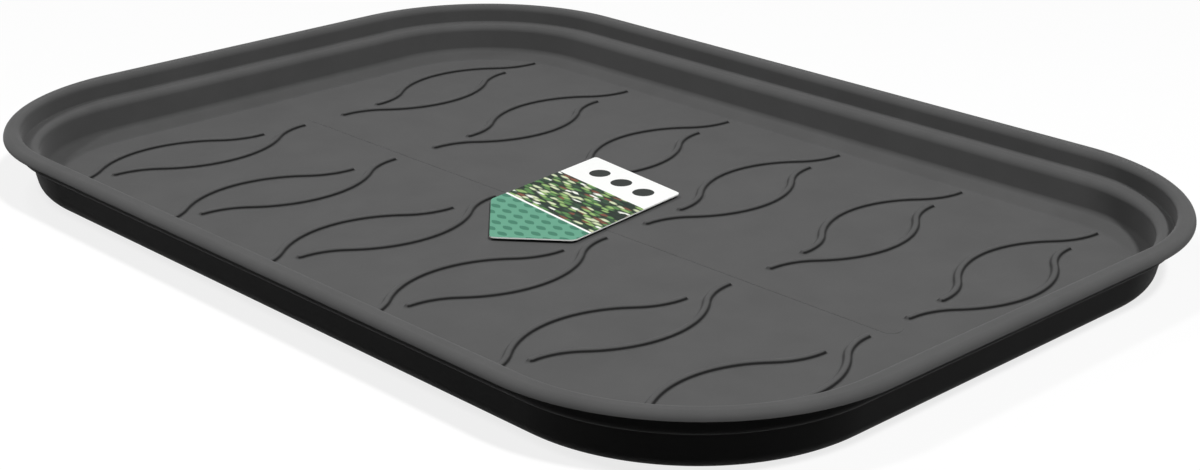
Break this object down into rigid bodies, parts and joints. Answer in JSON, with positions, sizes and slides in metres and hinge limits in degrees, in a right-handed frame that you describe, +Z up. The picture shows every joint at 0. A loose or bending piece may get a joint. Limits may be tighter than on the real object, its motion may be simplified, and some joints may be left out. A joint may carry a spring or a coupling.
{
  "type": "grow tray saucer",
  "caption": "Shallow rounded rectangular moulded tray with a stepped wall, a rolled rim and leaf-shaped floor ribs, with a card label on the ribs; catches water under plant pots.",
  "frame": {"origin": "bottom centre of the tray, on its flat resting face", "axes": "+X along the long side, +Y across, +Z up"},
  "size_m": [0.515, 0.365, 0.0298],
  "materials": {
    "tray_plastic": "matt moulded polypropylene, mid grey, with a soft sheen at low angles",
    "label_card": null
  },
  "bodies": {
    "root": {"tray": "tray_plastic", "label": "label_card"}
  },
  "joints": []
}
